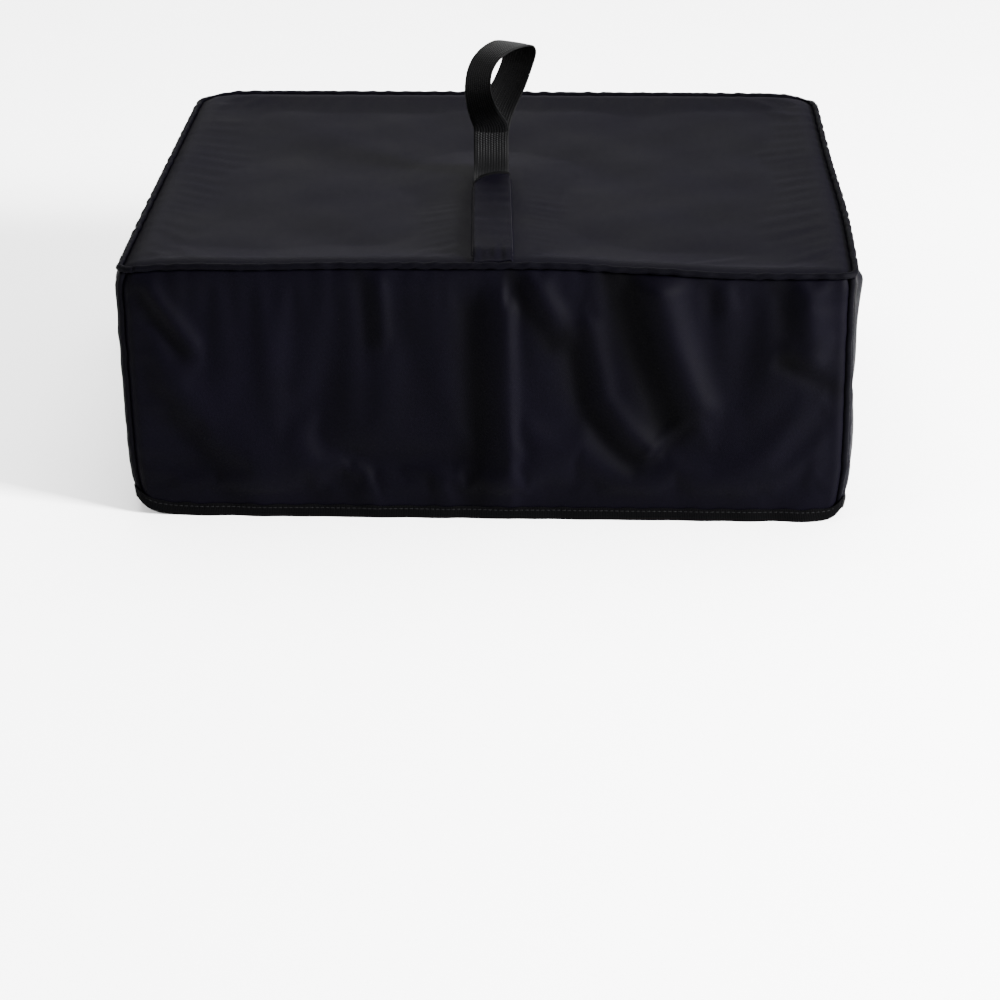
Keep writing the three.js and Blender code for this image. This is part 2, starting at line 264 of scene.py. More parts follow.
def bow_front_seam(co, moved):
    """Lets the front seam bow up in the middle."""
    sizes = bpy.context.scene.cover_sizes
    x, y, z = co.T
    knots = np.array((-230, -218, -190, -150, -100, -20, 60, 86, 110, 135, 230)) * MM
    bow = sizes.bow * through(x, knots, (-0.2, 0.2, 0.6, 0.64, 0.9, 1, 0.98, 0.66, 0.5, 0.16, 0))
    near_front = np.exp(-(((y + HALF_Y) / (95 * MM)) ** 2))
    moved[:, 2] += bow * near_front * np.clip(z / HEIGHT, 0, 1) ** 3


def on_roof(z):
    """1 on the top panel and its seams, and 0 on the walls."""
    return ease((z - 150 * MM) / (12 * MM))


def loosen_top(co, moved):
    """Makes the top slightly uneven, less so under the strap, and gathers it along its seam."""
    x, y, z = co.T
    strap = STRAP_X - y * math.tan(STRAP_SKEW)
    beside, behind = ease((abs(x - strap) - 15 * MM) / (25 * MM)), ease((y - 5 * MM) / (30 * MM))
    off_strap = np.clip(beside + behind, 0, 1)
    in_x, in_y = HALF_X - abs(x), HALF_Y - abs(y)
    middle = ease(in_x / (50 * MM)) * ease(in_y / (50 * MM))
    wave = 1.3 * MM * swell(x, y, 150 * MM, 71) + 0.5 * MM * swell(x, y, 60 * MM, 72)
    moved[:, 2] += on_roof(z) * middle * wave * (0.25 + 0.75 * off_strap)
    along_front = gathers(x, 12 * MM, 73) * np.exp(-np.clip(in_y - 4 * MM, 0, 1) / (11 * MM))
    along_sides = gathers(y, 13 * MM, 74) * np.exp(-np.clip(in_x - 4 * MM, 0, 1) / (11 * MM))
    moved[:, 2] += on_roof(z) * (0.34 * MM * along_front + 0.1 * MM * along_sides)


def droop_rear_corners(co, moved):
    """Rounds off the rear corners of the top and lets them down."""
    x, y, z = co.T
    for side in (-1, 1):
        far = np.hypot(x - side * HALF_X, y - HALF_Y)
        droop = on_roof(z) * np.exp(-((far / (17 * MM)) ** 2))
        moved[:, 0] -= side * 3.2 * MM * droop
        moved[:, 1] -= 2.6 * MM * droop
        moved[:, 2] -= 3.0 * MM * droop


def fold_walls(co, moved):
    """Folds and gathers the walls."""
    x, y, z = co.T
    for side, (turn, half, out) in WALLS.items():
        c, s = math.cos(turn), math.sin(turn)
        along, outwards = x * c + y * s, x * s - y * c
        at_wall = ease((outwards - out + 30 * MM) / (18 * MM))
        relief = wall_relief(side, along, z, half) * at_wall
        moved[:, 0] += relief * s
        moved[:, 1] -= relief * c


# Each lower corner: its side in X and Y, its share of the lift, and how far in the lift reaches.
LIFTS = ((-1, -1, 1.0, 8.5 * MM), (1, -1, 0.95, 5.0 * MM), (1, 1, 0.9, 7.0 * MM), (-1, 1, 0.95, 7.0 * MM))


def lift_corners(co, moved):
    """Lifts the lower corners off the floor and tucks them in."""
    sizes = bpy.context.scene.cover_sizes
    x, y, z = co.T
    for side_x, side_y, lift, reach in LIFTS:
        far = np.hypot(x - side_x * HALF_X, y - side_y * HALF_Y)
        near = np.exp(-np.hypot(x - side_x * HALF_X, 0.35 * (y - side_y * HALF_Y)) / reach)
        moved[:, 2] += sizes.corner_lift * lift * near * (1 - ease(z / (62 * MM)))
        tuck = 2.0 * MM * lift * np.exp(-far / (12 * MM)) * (1 - ease(z / (48 * MM)))
        moved[:, 0] -= side_x * tuck
        moved[:, 1] -= side_y * tuck


def settle(co):
    """Moves points of the drawn box to where the sewn, standing cloth holds them."""
    moved = co.copy()
    for give in (bulge_walls, bow_front_seam, loosen_top, droop_rear_corners, fold_walls, lift_corners):
        give(co, moved)
    return moved


def on_wall(side, s, inset, z):
    """Points of a wall by their length along it, with half of each corner turned."""
    turn, half, out = WALLS[side]
    straight = half - CORNER
    bent = np.clip(abs(s) - straight, 0, 1) / CLOTH_BEND
    reach = CORNER - inset
    along = np.sign(s) * (np.minimum(abs(s), straight) + reach * np.sin(bent))
    outwards = out - CORNER + reach * np.cos(bent)
    c, k = math.cos(turn), math.sin(turn)
    return np.column_stack((along * c + outwards * k, along * k - outwards * c, z + 0 * s))


def half_length(side, stop=0.0):
    """Half of a wall's length along the cloth, to a stop before the middle of its corners."""
    return WALLS[side][1] - CORNER + CLOTH_BEND * math.pi / 4 - stop


def on_rim(share, inset, z):
    """Points all the way round the cover, by the share of the way from the front left corner."""
    radius = CORNER - CORD_INSET
    spans = []
    for turn, half, out in WALLS.values():
        spans += [(turn, 2 * (half - CORNER), half, out), (turn, radius * math.pi / 2, half, out)]
    s = share * sum(span[1] for span in spans)
    x, y = np.zeros_like(s), np.zeros_like(s)
    start = 0.0
    for i, (turn, reach, half, out) in enumerate(spans):
        here = (s >= start - 1e-9) & (s <= start + reach + 1e-9)
        t = s - start
        if i % 2 == 0:
            along, outwards = t - reach / 2, out - inset
        else:
            bent = t / radius
            along = half - CORNER + (CORNER - inset) * np.sin(bent)
            outwards = out - CORNER + (CORNER - inset) * np.cos(bent)
        c, k = math.cos(turn), math.sin(turn)
        x = np.where(here, along * c + outwards * k, x)
        y = np.where(here, along * k - outwards * c, y)
        start += reach
    return np.column_stack((x, y, z + 0 * s))


RIM_LENGTH = 4 * (HALF_X + HALF_Y - 2 * CORNER) + math.tau * (CORNER - CORD_INSET)

# ---- Making pieces -----------------------------------------------------------------------------


def points_of(mesh):
    """The places of a mesh's points, one row each."""
    co = np.empty(3 * len(mesh.vertices), np.float32)
    mesh.vertices.foreach_get("co", co)
    return co.reshape(-1, 3).astype(float)


def move_points(mesh, co):
    """Puts a mesh's points at new places."""
    mesh.vertices.foreach_set("co", co.astype(np.float32).ravel())
    mesh.update()


def cut_cloth(name, steps, size, shape):
    """A grid cut flat to a size, then laid where shape puts the share of each point's way over it."""
    bm = bmesh.new()
    bmesh.ops.create_grid(bm, x_segments=steps[0], y_segments=steps[1], size=0.5)
    mesh = bpy.data.meshes.new(name)
    bm.to_mesh(mesh)
    bm.free()
    share = points_of(mesh)[:, :2] + 0.5
    corners = np.empty(len(mesh.loops), np.int32)
    mesh.loops.foreach_get("vertex_index", corners)
    pattern = mesh.uv_layers.new(name="Cloth")
    pattern.data.foreach_set("uv", (share[corners] * size).astype(np.float32).ravel())
    move_points(mesh, shape(share[:, 0], share[:, 1]))
    return mesh


def paint_crease_shade(mesh, side):
    """Stores on each point of a wall how much painted shade darkens the cloth's colour in its fold hollows.
    """
    turn = WALLS[side][0]
    co = points_of(mesh)
    along = co[:, 0] * math.cos(turn) + co[:, 1] * math.sin(turn)
    _, crease = fold_relief(side, along, co[:, 2])
    mesh.attributes.new("crease", "FLOAT", "POINT").data.foreach_set("value", crease.astype(np.float32))


def close_up(mesh):
    """Welds the meeting edges, fills open ends and turns the faces outwards."""
    bm = bmesh.new()
    bm.from_mesh(mesh)
    bmesh.ops.remove_doubles(bm, verts=bm.verts, dist=1e-6)
    bmesh.ops.holes_fill(bm, edges=[e for e in bm.edges if e.is_boundary], sides=0)
    bmesh.ops.recalc_face_normals(bm, faces=bm.faces)
    bm.to_mesh(mesh)
    bm.free()
    return mesh


def sweep(name, length, pitch, section, place):
    """A closed section drawn along a length. place puts the section's points at a share of the way."""
    section = np.asarray(section, float)
    count = len(section)
    girth = float(np.hypot(*(np.roll(section, -1, 0) - section).T).sum())

    def shape(u, v):
        corner = np.rint(v * count).astype(int) % count
        return place(u, section[corner, 0], section[corner, 1])

    steps = (max(2, round(length / pitch)), count)
    return close_up(cut_cloth(name, steps, (length, girth), shape))


def add_piece(name, mesh, finish, stands_for=()):
    """Puts a finished mesh in the scene, in its material, and hides the parts it stands for."""
    obj = bpy.data.objects.new(name, mesh)
    bpy.context.scene.collection.objects.link(obj)
    mesh.materials.append(bpy.data.materials[finish])
    mesh.shade_smooth()
    if stands_for:
        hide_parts(*stands_for)
    return obj


def applied(obj):
    """The object's mesh with its modifiers in it."""
    graph = bpy.context.evaluated_depsgraph_get()
    mesh = bpy.data.meshes.new_from_object(obj.evaluated_get(graph), depsgraph=graph)
    mesh.name = obj.data.name
    return mesh


def thicken(obj, thickness):
    """Gives cloth its thickness, inwards from its outer face."""
    wall = obj.modifiers.new("Thickness", "SOLIDIFY")
    wall.thickness = thickness
    wall.offset = -1


# ---- Finishes ----------------------------------------------------------------------------------


class Signal:
    """A number that varies over a surface. Sums and products of it add their own Math nodes."""

    def __init__(self, finish, socket):
        self.finish = finish
        self.socket = socket

    def maths(self, operation, *terms):
        """A Math node on signals and plain numbers."""
        inputs = dict(enumerate(terms))
        return Signal(self.finish, self.finish.node("ShaderNodeMath", {"operation": operation}, inputs))

    def __add__(self, other):
        return self.maths("ADD", self, other)

    def __sub__(self, other):
        return self.maths("SUBTRACT", self, other)

    def __rsub__(self, other):
        return self.maths("SUBTRACT", other, self)

    def __mul__(self, other):
        return self.maths("MULTIPLY", self, other)

    __radd__ = __add__
    __rmul__ = __mul__

    def sine(self):
        return self.maths("SINE", self)

    def size(self):
        """Its distance from nought."""
        return self.maths("ABSOLUTE", self)


class Finish:
    """One material, drawn with nodes."""

    def __init__(self, name, **shader):
        self.material = bpy.data.materials.new(name)
        self.material.use_nodes = True
        self.tree = self.material.node_tree
        self.tree.nodes.clear()
        surface = self.node("ShaderNodeBsdfPrincipled", {}, shader)
        self.shader = surface.node
        self.node("ShaderNodeOutputMaterial", {}, {"Surface": surface})

    def node(self, kind, settings, inputs, output=0):
        """Adds any node: its settings first, then the values or links of its sockets."""
        made = self.tree.nodes.new(kind)
        for key, value in settings.items():
            setattr(made, key, value)
        for key, value in inputs.items():
            source = getattr(value, "socket", value)
            if isinstance(source, bpy.types.NodeSocket):
                self.tree.links.new(source, made.inputs[key])
            else:
                made.inputs[key].default_value = source
        return made.outputs[output] if made.outputs else None

    def mapped(self):
        """The two lengths over the cloth, in metres, as it was cut."""
        uv = self.node("ShaderNodeUVMap", {"uv_map": "Cloth"}, {})
        split = self.node("ShaderNodeSeparateXYZ", {}, {0: uv})
        return Signal(self, split), Signal(self, split.node.outputs[1])

    def noise(self, scale, detail=2.0):
        """Uneven patches from 0 to 1 over the object."""
        place = self.node("ShaderNodeTexCoord", {}, {}, "Object")
        inputs = {"Vector": place, "Scale": scale, "Detail": detail}
        return Signal(self, self.node("ShaderNodeTexNoise", {}, inputs))

    def shade(self, share, dark, light):
        """Base colour between two colours."""
        ends = {0: share, 6: (*dark, 1), 7: (*light, 1)}
        mix = self.node("ShaderNodeMix", {"data_type": "RGBA"}, ends, 2)
        self.tree.links.new(mix, self.shader.inputs["Base Color"])

    def rough(self, value):
        """Roughness that varies."""
        self.tree.links.new(value.socket, self.shader.inputs["Roughness"])

    def bump(self, height, distance, strength=1.0):
        """Fine relief, of a height that varies."""
        inputs = {"Height": height, "Distance": distance, "Strength": strength}
        bump = self.node("ShaderNodeBump", {}, inputs)
        self.tree.links.new(bump, self.shader.inputs["Normal"])


def tones(colour, low, high):
    """A darker and a lighter tone of one colour."""
    return [c * low for c in colour], [c * high for c in colour]


def nylon(name, colour, pitch, slant):
    """Coated woven nylon: a fine plain weave under a thin coat, with a cool sheen, and painted shade that
    darkens its colour in the fold hollows.
    """
    look = Finish(name, **{
        "Sheen Weight": 0.0012, "Sheen Roughness": 0.35, "Sheen Tint": (0.6, 0.5, 1, 1),
        "Specular IOR Level": 0.011,
    })
    u, v = look.mapped()
    warp, weft = (u + slant * v) * (math.pi / pitch), (v - slant * u) * (math.pi / pitch)
    threads = warp.sine() * weft.sine()
    slubs = look.noise(900, 1)
    patches = look.noise(17, 3)
    # Painted shade: the stored fold hollows darken the base colour below, to about a fifth of its usual
    # value.
    crease = Signal(look, look.node("ShaderNodeAttribute", {"attribute_name": "crease"}, {}, "Fac"))
    cover = patches * 0.6 + threads * 0.14 + slubs * 0.3 - 0.05
    look.shade(cover * (1 - crease), *tones(colour, 0.2, 1.7))
    look.rough(0.5 + 0.16 * patches + 0.06 * slubs - 0.03 * threads)
    look.bump(threads * 0.6 + slubs * 0.8, 0.09 * MM, 0.8)


def binding(name, colour):
    """Ribbed binding tape: ribs across its length, matt."""
    look = Finish(name, **{"Sheen Weight": 0.001, "Sheen Roughness": 0.5, "Specular IOR Level": 0.012})
    u, v = look.mapped()
    ribs = (u * (math.tau / (1.1 * MM))).sine()
    fuzz = look.noise(1400, 2)
    look.shade(0.35 + 0.25 * ribs + 0.4 * fuzz, *tones(colour, 0.6, 1.5))
    look.rough(0.72 + 0.14 * fuzz)
    look.bump(ribs * 0.5 + fuzz * 0.6 + (v * (math.tau / (2.4 * MM))).sine() * 0.15, 0.12 * MM)


def webbing(name, colour):
    """Flat woven webbing: rounded ribs along its length, crossed by slanting picks."""
    look = Finish(name, **{"Sheen Weight": 0.005, "Sheen Roughness": 0.4, "Specular IOR Level": 0.034})
    u, v = look.mapped()
    rib = (v * (math.pi / (1.7 * MM))).sine().size()
    slant = (v * (math.pi / (1.7 * MM))).sine() * 1.8
    picks = (u * (math.tau / (1.5 * MM)) + slant).sine()
    fuzz = look.noise(1100, 2)
    look.shade(0.1 + 0.4 * rib + 0.18 * picks + 0.3 * fuzz, *tones(colour, 0.5, 1.5))
    look.rough(0.5 + 0.2 * fuzz - 0.08 * rib)
    look.bump(rib * 0.8 + picks * 0.35 * rib + fuzz * 0.25, 0.28 * MM)


def thread(name, colour):
    """Twisted polyester thread."""
    look = Finish(name, **{"Sheen Weight": 0.005, "Specular IOR Level": 0.06})
    strands = look.noise(2600, 1)
    look.shade(strands, *tones(colour, 0.6, 1.6))
    look.rough(0.38 + 0.2 * strands)
    look.bump(strands, 0.1 * MM)


def floor_finish(name, colour):
    """Smooth matt paint."""
    look = Finish(name, **{"Specular IOR Level": 0.2})
    grain = look.noise(9, 2)
    look.shade(grain, *tones(colour, 0.99, 1.01))
    look.rough(0.75 + 0.1 * grain)


# ---- Properties --------------------------------------------------------------------------------


def measure(name, description, default):
    """A length that a user may change."""
    return bpy.props.FloatProperty(
        name=name, description=description, default=default, min=0.0, precision=4,
        unit="LENGTH", subtype="DISTANCE",
    )


def paint(name, description, default):
    """A colour that a user may change."""
    return bpy.props.FloatVectorProperty(
        name=name, description=description, default=default, min=0.0, max=1.0, subtype="COLOR"
    )


class CoverSizes(bpy.types.PropertyGroup):
    cloth: measure("Cloth thickness", "Thickness of the nylon cloth", 0.5 * MM)
    cord: measure("Piping radius", "Radius of the piping round its cord", 2.0 * MM)
    belly: measure("Belly", "How far the walls bulge between their seams", 3.2 * MM)
    bow: measure("Seam bow", "How far the front seam rises in the middle", 5.6 * MM)
    corner_lift: measure("Corner lift", "How far the lower corners lift off the floor", 13.5 * MM)
    stitch: measure("Stitch length", "Length from one stitch to the next", 3.4 * MM)
    fold_depth: bpy.props.FloatProperty(
        name="Fold depth", description="Strength of the folds in the walls", default=1.6, min=0.0, max=2.0
    )


class CoverColours(bpy.types.PropertyGroup):
    cloth: paint("Cloth", "Nylon cloth of the panels and sleeve", (0.00046, 0.00033, 0.00104))
    piping: paint("Piping", "Strip of cloth round the piping cord", (0.00034, 0.00027, 0.00074))
    tape: paint("Binding tape", "Tape over the hem and the seam edges", (0.00015, 0.00014, 0.00022))
    webbing: paint("Webbing", "Webbing of the lifting loop", (0.00075, 0.00075, 0.00085))
    thread: paint("Thread", "Sewing thread", (0.0006, 0.0006, 0.0008))
    floor: paint("Floor", "Studio floor", (0.93, 0.93, 0.93))


# ---- Operators ---------------------------------------------------------------------------------


class COVER_OT_finishes(bpy.types.Operator):
    """Makes the materials of the cloth, piping, tape, webbing, thread and floor"""

    bl_idname = "cover.finishes"
    bl_label = "Finishes"

    def execute(self, context):
        colours = context.scene.cover_colours
        nylon("nylon_cloth", colours.cloth, 0.62 * MM, 0.0)
        nylon("piping_strip", colours.piping, 0.62 * MM, 1.0)
        binding("binding_tape", colours.tape)
        webbing("woven_webbing", colours.webbing)
        thread("sewing_thread", colours.thread)
        floor_finish("studio_floor", colours.floor)
        return {"FINISHED"}


def wall_shape(side):
    """Lays a flat wall panel: up the wall, round half of both corners, and in under the seams."""

    def shape(u, v):
        s = (2 * u - 1) * half_length(side, 1.6 * MM)
        z = 0.8 * MM + v * (WALL_TOP - 0.8 * MM)
        under = 1 - ease((WALL_TOP - z) / (6 * MM))
        beside = 1 - ease((half_length(side, 1.6 * MM) - abs(s)) / (4.5 * MM))
        return settle(on_wall(side, s, 1.0 * MM + 1.9 * MM * under + 1.6 * MM * beside, z))

    return shape


def top_shape(u, v):
    """Lays the top panel: rounded at its corners and rolled down beside the piping."""
    x, y = (2 * u - 1) * (HALF_X - SEAM_INSET), (2 * v - 1) * (HALF_Y - SEAM_INSET)
    radius = CORNER - SEAM_INSET
    a = np.clip(abs(x) - (HALF_X - CORNER), 0, 1)
    b = np.clip(abs(y) - (HALF_Y - CORNER), 0, 1)
    both = (a > 0) & (b > 0)
    shrink = np.where(both, np.maximum(a, b) / np.maximum(np.hypot(a, b), 1e-9), 1.0)
    x = np.where(both, np.sign(x) * (HALF_X - CORNER + a * shrink), x)
    y = np.where(both, np.sign(y) * (HALF_Y - CORNER + b * shrink), y)
    edge = radius - np.maximum(a, b)
    z = 169.5 * MM - 2.6 * MM * (1 - ease(edge / (6.5 * MM)))
    return settle(np.column_stack((x, y, z)))


def sewn_weights(co):
    """1 where the seams, the hem or the strap hold the cloth, and less in the free middle."""
    x, y, z = co[:, 0], co[:, 1], co[:, 2]
    top = z > HEIGHT - 9 * MM
    in_x, in_y = HALF_X - abs(x), HALF_Y - abs(y)
    on_top = 1 - ease((np.minimum(in_x, in_y) - 9 * MM) / (12 * MM))
    strap = STRAP_X - y * math.tan(STRAP_SKEW)
    under_strap = (1 - ease((abs(x - strap) - 12 * MM) / (22 * MM))) * (1 - ease((y - 12 * MM) / (30 * MM)))
    on_top = np.maximum(on_top, under_strap)
    along = np.where(in_x < in_y, in_y, in_x)
    from_seams = np.minimum(np.minimum(along - 4 * MM, WALL_TOP - z), z - 10 * MM)
    beside_seams = 1 - ease((from_seams - 3 * MM) / (10 * MM))
    return np.where(top & (np.minimum(in_x, in_y) > 6 * MM), on_top, beside_seams)


DRAPE_STEPS = 20
DRAPE_LIMIT = 5 * MM
SPARE_ON_TOP, SPARE_ON_WALLS = 0.0025, 0.007


def drape(panels):
    """Lets the panels buckle: their cloth is a little longer than the seams that hold it."""
    scene = bpy.context.scene
    for panel in panels:
        rest = points_of(panel.data)
        sewn = panel.vertex_groups.new(name="sewn")
        for i, weight in enumerate(sewn_weights(rest)):
            sewn.add([i], float(weight), "REPLACE")
        cloth = panel.modifiers.new("Drape", "CLOTH").settings
        cloth.quality = 5
        cloth.mass = 0.2
        cloth.tension_stiffness = 18
        cloth.compression_stiffness = 18
        cloth.shear_stiffness = 8
        cloth.bending_stiffness = 6
        cloth.air_damping = 3
        cloth.vertex_group_mass = "sewn"
        cloth.shrink_min = -SPARE_ON_TOP if panel.name == "top_cloth" else -SPARE_ON_WALLS
        cloth.effector_weights.gravity = 0.15
    for step in range(1, DRAPE_STEPS + 1):
        scene.frame_set(step)
    for panel in panels:
        rest = points_of(panel.data)
        moved = points_of(applied(panel)) - rest
        far = np.linalg.norm(moved, axis=1, keepdims=True)
        panel.modifiers.clear()
        panel.vertex_groups.clear()
        move_points(panel.data, rest + moved * np.minimum(1, DRAPE_LIMIT / np.maximum(far, 1e-9)))
    scene.frame_set(1)


class COVER_OT_panels(bpy.types.Operator):
    """Cuts the five nylon panels, lays them on the frame and lets the cloth settle between its seams"""

    bl_idname = "cover.panels"
    bl_label = "Cloth panels"

    def execute(self, context):
        cloth = context.scene.cover_sizes.cloth
        panels = []
        for side, (_, half, _) in WALLS.items():
            size = (2 * half_length(side), HEIGHT)
            steps = (round(size[0] / (2.7 * MM)), 40)
            mesh = cut_cloth(side + "_cloth", steps, size, wall_shape(side))
            # Painted shade: notes where the fold hollows darken the cloth's colour.
            paint_crease_shade(mesh, side)
            panels.append(add_piece(side + "_cloth", mesh, "nylon_cloth", [side + "_panel"]))
        size = (2 * HALF_X, 2 * HALF_Y)
        mesh = cut_cloth("top_cloth", (118, 100), size, top_shape)
        panels.append(add_piece("top_cloth", mesh, "nylon_cloth", ["top_panel"]))
        drape(panels)
        for panel in panels:
            rounding = panel.modifiers.new("Rounding", "SUBSURF")
            rounding.levels = rounding.render_levels = 1
            rounding.boundary_smooth = "PRESERVE_CORNERS"
            fine = applied(panel)
            panel.modifiers.clear()
            panel.data = fine
            thicken(panel, cloth)
            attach(panel, "cover")
        return {"FINISHED"}


def piping_section(cord):
    """A round cord on a flat tail that runs along +X."""
    half = 0.45 * MM
    join = math.asin(half / cord)
    turns = np.linspace(join, math.tau - join, 13)
    ring = [(cord * math.cos(t), cord * math.sin(t)) for t in turns]
    return [(TAIL, -half), (TAIL, half), (TAIL / 2, half), *ring, (TAIL / 2, -half)]


def tape_section():
    """Tape folded round the end of a piping tail."""
    inner, outer = 0.75 * MM, 1.3 * MM
    start, floor, end = 3.8 * MM, 10.3 * MM, 10.8 * MM
    return [
        (start, -outer), (7 * MM, -outer), (end - 0.3 * MM, -outer), (end, -outer / 2),
        (end, outer / 2), (end - 0.3 * MM, outer), (7 * MM, outer), (start, outer),
        (start, inner), (floor, inner), (floor, -inner), (start, -inner),
    ]


def rim_place(wrinkle):
    """Places a section round the top seam: its X runs inwards and down from the cord."""
    slope = math.sqrt(0.5)

    def place(u, x, y):
        s = u * RIM_LENGTH
        swollen = 1 + wrinkle * gathers(s + 0.6 * np.arctan2(y, x) * 3 * MM, 5 * MM, 81)
        x, y = x * np.where(x < 3 * MM, swollen, 1), y * swollen
        return settle(on_rim(u, CORD_INSET + slope * (x + y), HEIGHT - CORD_INSET - slope * (x - y)))

    return place


def corner_place(diagonal_deg, bottom, top, wrinkle):
    """Places a section up a corner: its X runs from the cord to the inside."""
    turn = math.radians(diagonal_deg)
    out = np.array((math.cos(turn), math.sin(turn)))
    centre = np.sign(out) * (HALF_X - CORNER, HALF_Y - CORNER) + out * (CORNER - CORD_INSET)
    side = np.array((-out[1], out[0]))

    def place(u, x, y):
        z = bottom + u * (top - bottom)
        inside = np.clip(x, 0, 1)
        z = np.minimum(z, HEIGHT - 3.7 * MM - 1.09 * inside)
        swollen = 1 + wrinkle * gathers(z + 0.6 * np.arctan2(y, x) * 3 * MM, 5 * MM, 82)
        x, y = x * np.where(x < 3 * MM, swollen, 1), y * swollen
        flat = centre - x[:, None] * out + y[:, None] * side
        return settle(np.column_stack((flat, z)))

    return place


class COVER_OT_piping(bpy.types.Operator):
    """Sews the piping round the top seam and down the four corners"""

    bl_idname = "cover.piping"
    bl_label = "Piping"

    def execute(self, context):
        section = piping_section(context.scene.cover_sizes.cord)
        mesh = sweep("top_piping_strip", RIM_LENGTH, 1.6 * MM, section, rim_place(0.05))
        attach(add_piece("top_piping_strip", mesh, "piping_strip", ["top_piping"]), "cover")
        for corner, diagonal in CORNERS.items():
            place = corner_place(diagonal, 6.5 * MM, HEIGHT - 3.5 * MM, 0.05)
            mesh = sweep(corner + "_piping_strip", HEIGHT - 10 * MM, 1.6 * MM, section, place)
            obj = add_piece(corner + "_piping_strip", mesh, "piping_strip", [corner + "_piping"])
            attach(obj, "cover")
        return {"FINISHED"}


def hem_section():
    """Tape folded up over the hem: X is how far it lies inside the outer face, Y its height."""
    rows = (
        (0.35, 0.5), (0.7, 0.0), (2.9, 0.0), (3.3, 0.5), (3.35, 3.0), (3.35, 6.0),
        (3.3, 8.7), (3.1, 9.0), (2.8, 9.0), (2.6, 8.6), (2.6, 1.0), (0.95, 1.0),
        (0.9, 8.7), (0.75, 9.0), (0.45, 9.0), (0.25, 8.6), (0.2, 6.0), (0.2, 3.0),
    )
    return [(x * MM, y * MM) for x, y in rows]


class COVER_OT_bindings(bpy.types.Operator):
    """Folds binding tape over the hem and over the seam edges inside the cover"""

    bl_idname = "cover.bindings"
    bl_label = "Binding tapes"

    def execute(self, context):
        for side in WALLS:
            half = half_length(side, 0.1 * MM)

            def place(u, x, y, side=side, half=half):
                s = (2 * u - 1) * half
                over_cord = np.exp(-(((half - abs(s)) / (3.2 * MM)) ** 2)) * (x < 0.8 * MM)
                height = y * (1 + 0.04 * gathers(s, 14 * MM, 84))
                return settle(on_wall(side, s, x - 1.5 * MM * over_cord, height))

            mesh = sweep(side + "_hem_binding", 2 * half, 1.8 * MM, hem_section(), place)
            obj = add_piece(side + "_hem_binding", mesh, "binding_tape", [side + "_hem_tape"])
            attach(obj, "cover")
        mesh = sweep("top_seam_binding", RIM_LENGTH, 2.4 * MM, tape_section(), rim_place(0.0))
        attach(add_piece("top_seam_binding", mesh, "binding_tape", ["top_seam_tape"]), "cover")
        for corner, diagonal in CORNERS.items():
            place = corner_place(diagonal, 6.5 * MM, HEIGHT - 3.5 * MM, 0.0)
            mesh = sweep(corner + "_seam_binding", HEIGHT - 10 * MM, 2.4 * MM, tape_section(), place)
            obj = add_piece(corner + "_seam_binding", mesh, "binding_tape", [corner + "_seam_tape"])
            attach(obj, "cover")
        return {"FINISHED"}


def on_strap(x, y, z):
    """Points of the strap's own line, turned to its slant across the top."""
    c, s = math.cos(STRAP_SKEW), math.sin(STRAP_SKEW)
    return np.column_stack((STRAP_X + x * c - y * s, x * s + y * c, z))


def lie_on_top(co):
    """Settles what lies on the top panel, and leaves what stands above it where it is."""
    flat = co.copy()
    flat[:, 2] = np.minimum(flat[:, 2], HEIGHT)
    share = 1 - ease((co[:, 2] - 173 * MM) / (22 * MM))
    into_seam = 1 - ease((co[:, 1] + HALF_Y - 3.5 * MM) / (15 * MM))
    moved = co + (settle(flat) - flat) * share[:, None]
    moved[:, 2] -= 3.8 * MM * into_seam * share
    return moved


def spline(route, per_span=24):
    """Points of a smooth line through a route, spaced by the root of each span's length."""
    p = np.asarray(route, float)
    p = np.vstack((2 * p[0] - p[1], p, 2 * p[-1] - p[-2]))
    line = []
    for i in range(1, len(p) - 2):
        a, b, c, d = p[i - 1 : i + 3]
        ta = 0.0
        tb = ta + np.linalg.norm(b - a) ** 0.5
        tc = tb + np.linalg.norm(c - b) ** 0.5
        td = tc + np.linalg.norm(d - c) ** 0.5
        for t in np.linspace(tb, tc, per_span, endpoint=False):
            ab = a + (b - a) * (t - ta) / (tb - ta)
            bc = b + (c - b) * (t - tb) / (tc - tb)
            cd = c + (d - c) * (t - tc) / (td - tc)
            abc = ab + (bc - ab) * (t - ta) / (tc - ta)
            bcd = bc + (cd - bc) * (t - tb) / (td - tb)
            line.append(abc + (bcd - abc) * (t - tb) / (tc - tb))
    return np.array(line + [p[-2]])


def evenly(line, values, count):
    """The same line and the values along it, at even steps of its length."""
    run = np.concatenate(([0], np.cumsum(np.linalg.norm(np.diff(line, axis=0), axis=1))))
    at = np.linspace(0, run[-1], count)
    even = np.column_stack([np.interp(at, run, line[:, k]) for k in range(3)])
    return even, np.interp(at, run, values), run[-1]


def tail_line(ply):
    """One tail from the front seam to the fold: flat, then bent up."""
    middle = (LOWER_PLY + UPPER_PLY) / 2
    radius = BEND_RADIUS - (ply - middle)
    centre_z = middle + BEND_RADIUS
    last = math.acos((centre_z - (FOLD_Z - 1.5 * MM)) / BEND_RADIUS)
    flat = np.linspace(-HALF_Y + 3.6 * MM, BEND_START, 60)[:-1]
    turn = np.linspace(0, last, 24)
    y = np.concatenate((flat, BEND_START + radius * np.sin(turn)))
    z = np.concatenate((np.full(len(flat), ply), centre_z - radius * np.cos(turn)))
    return on_strap(0 * y, y, z)


# The standing loop, in millimetres from the fold line.
LOOP_ROUTE = (
    (0, -0.75, 1.5), (-0.4, -1.35, 4.5), (-5, -9, 17), (-8.5, -15, 34), (-7.5, -14.5, 47),
    (-2.5, -11, 56), (6, -5, 61.5), (13, 0, 62.5), (19.5, 9, 59.5), (18, 14.5, 48),
    (13.5, 14, 34), (4, 9, 15), (0.4, 1.35, 4.5), (0, 0.75, 1.5),
)

